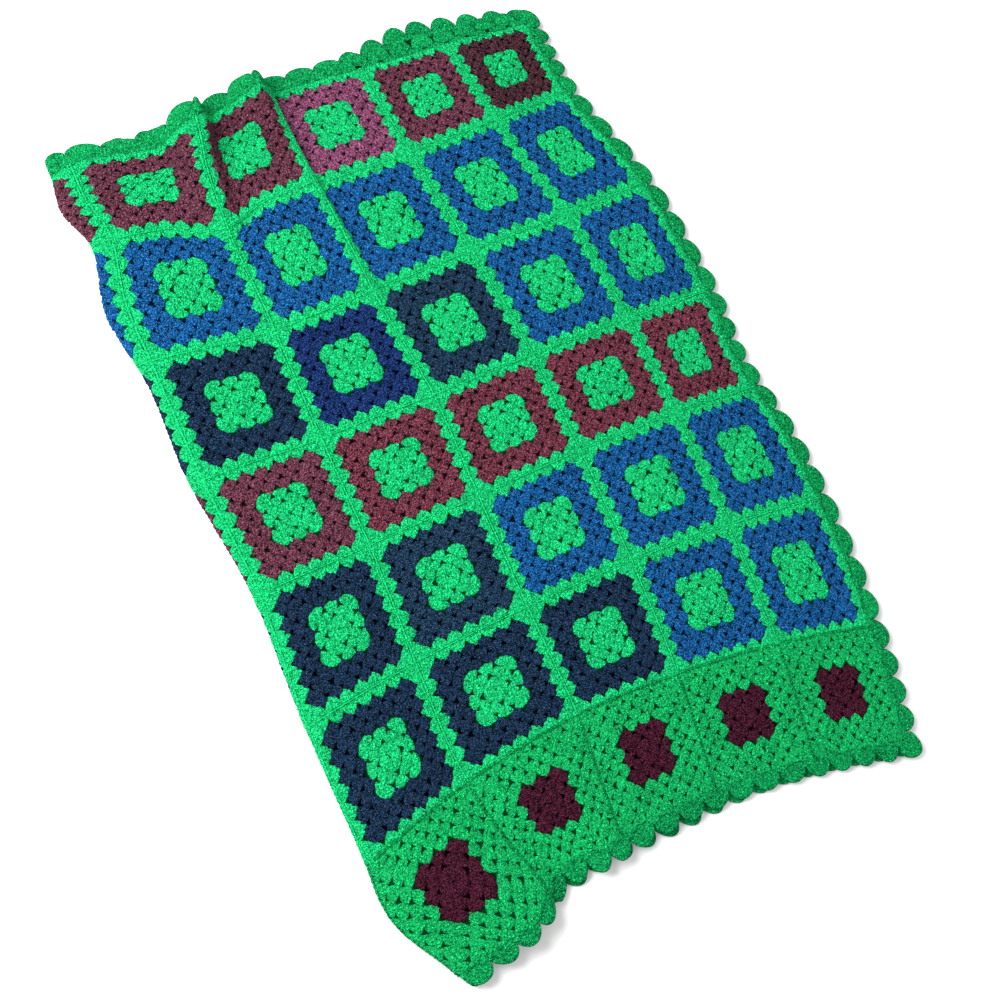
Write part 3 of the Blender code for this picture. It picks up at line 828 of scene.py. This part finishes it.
shell_posts = 0.66 + 0.34 * np.abs(np.cos(SHELL_POSTS * math.pi / 2 * (swing + 1.0)))
shell_end = np.interp(reach, (0.0, 0.08, 0.3, 0.86, 0.95, 1.0), (0.3, 0.8, 1.0, 0.92, 0.68, 0.0))
shell_tint = random.normal(0.0, 1.0, (len(shells), 1, 1))
edging = both_sides("shells", on_edge(shells, shell_along, shell_depth),
                    shell_posts * shell_end, shell_tint)

# The shell at each corner fans about a point inside the corner square, out over its diagonal.
CORNER_IN = 6.0           # mm from that point to the squares' two edges
CORNER_FAN = math.radians(66.0)       # to each side of the diagonal
corner_turn = math.radians(45.0) - swing * CORNER_FAN
corner_foot = 10.5 + 1.8 * bow
corner_tip = 19.3 + 14.0 * bow ** 0.8
corner_reach = corner_foot + (corner_tip - corner_foot) * reach
sides_x = np.array((1, 1, -1, -1))[:, None, None]
sides_y = np.array((1, -1, -1, 1))[:, None, None]
corner_swing = corner_turn * np.ones((4, 1, 1))
corner_x = sides_x * (half_wide - CORNER_IN + corner_reach * np.cos(corner_swing))
corner_y = sides_y * (half_long - CORNER_IN + corner_reach * np.sin(corner_swing))
facing = (sides_x * sides_y)[:, 0, 0] > 0
for turned, label in ((facing, "corner_shells"), (~facing, "far_corner_shells")):
    flat = (corner_x[turned], corner_y[turned])
    if label == "far_corner_shells":
        flat = (flat[0][..., ::-1], flat[1][..., ::-1])
    edging += both_sides(label, flat, shell_posts * shell_end)

# The band under the shells runs from one slit to the next, and laps over the squares' edge. Over
# the raised folds it reaches out as far as the shallow notches.
BAND_LINES = (-2.0, -1.2, 1.5, 5.5, 7.5)
BAND_LAP = 0.8            # mm that it goes in over the ends of the slits beside it
BAND_MARGIN = 20.0        # mm, as a band starts half a shell further on than the shells do
FOLDS_BAND = 2.1          # how many times deeper it is over the raised folds
bands = edge_stretches(-1, 0.5)
pitch = bands[:, 6, None, None]
share, out = np.meshgrid(np.linspace(0.0, 1.0, 21), np.array(BAND_LINES))
band_along = SLIT_HALF - BAND_LAP + (pitch - 2 * (SLIT_HALF - BAND_LAP)) * share
band_out = np.where(over_folds(bands, BAND_MARGIN) & (out > BAND_LINES[2]), FOLDS_BAND * out, out)
band_lift = 0.80 + 0.20 * np.abs(np.cos(3 * math.pi * share))
band_lift *= np.interp(out, BAND_LINES, (0.1, 0.95, 1.0, 0.95, 0.4))
band_lift *= np.interp(share, (0.0, 0.05, 0.95, 1.0), (0.0, 0.9, 0.9, 0.0))
edging += both_sides("band", on_edge(bands, band_along, band_out), band_lift)

# A last stitch of the squares' edge closes each slit on the inner side.
SILL_LINES = (-2.0, -1.2, 0.4, 1.6)
share, out = np.meshgrid(np.linspace(-1.0, 1.0, 5), np.array(SILL_LINES))
sill_lift = np.interp(out, SILL_LINES, (0.1, 0.9, 0.8, 0.0)) * (1.0 - 0.3 * share ** 4)
sill_along = shells[:, 6, None, None] / 2 + (SLIT_HALF + 0.5) * share
edging += both_sides("slit_edges", on_edge(shells, sill_along, out), sill_lift)
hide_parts("shell_edging")


# The floor, plain and pale, a hair below the blanket so that the two surfaces don't mix.
bpy.ops.mesh.primitive_plane_add(size=14.0, location=(0.0, 0.0, -0.0004))
floor = bpy.context.object
floor.name = "floor"
matt_paint = bpy.data.materials.new("matt white paint")
matt_paint.use_nodes = True
paint_surface = matt_paint.node_tree.nodes["Principled BSDF"]
paint_surface.inputs["Base Color"].default_value = to_linear("#f4f4f4")
paint_surface.inputs["Roughness"].default_value = 0.9
floor.data.materials.append(matt_paint)


# Light: one large soft lamp from the upper left of the picture, a weak one from the other side
# and an even pale surround.
def soft_lamp(name, place, size, power):
    """A round lamp at a place in metres, aimed at the blanket's middle."""
    lamp = bpy.data.lights.new(name, "AREA")
    lamp.shape = "DISK"
    lamp.size = size
    lamp.energy = power
    holder = bpy.data.objects.new(name, lamp)
    bpy.context.scene.collection.objects.link(holder)
    holder.location = place
    holder.rotation_mode = "QUATERNION"
    aim = -holder.location
    holder.rotation_quaternion = aim.to_track_quat("-Z", "Y")


soft_lamp("key lamp", (-1.6, 0.9, 1.8), 1.7, 112.0)
soft_lamp("fill lamp", (1.8, -1.2, 2.6), 2.4, 10.0)
surround = bpy.data.worlds.new("pale surround")
surround.use_nodes = True
background = surround.node_tree.nodes["Background"]
background.inputs["Color"].default_value = (1.0, 1.0, 1.0, 1.0)
background.inputs["Strength"].default_value = 0.75
bpy.context.scene.world = surround
bpy.context.scene.view_settings.view_transform = "Standard"


# The camera, where the photograph was taken from: over the fold's side, looking down steeply.
CAMERA_PLACE = (-0.8705, -0.4114, 2.1627)
CAMERA_AHEAD = (0.35907, 0.14643, -0.92175)
CAMERA_UP = (0.34920, 0.89480, 0.27818)
camera_data = bpy.data.cameras.new("camera")
camera_data.sensor_width = 36.0
camera_data.lens = 66.0
camera = bpy.data.objects.new("camera", camera_data)
bpy.context.scene.collection.objects.link(camera)
ahead = np.array(CAMERA_AHEAD)
up = np.array(CAMERA_UP)
right = np.cross(ahead, up)
right /= np.linalg.norm(right)
up = np.cross(right, ahead)
aimed = Matrix([(right[row], up[row], -ahead[row]) for row in range(3)]).to_4x4()
camera.matrix_world = Matrix.Translation(CAMERA_PLACE) @ aimed
bpy.context.scene.camera = camera
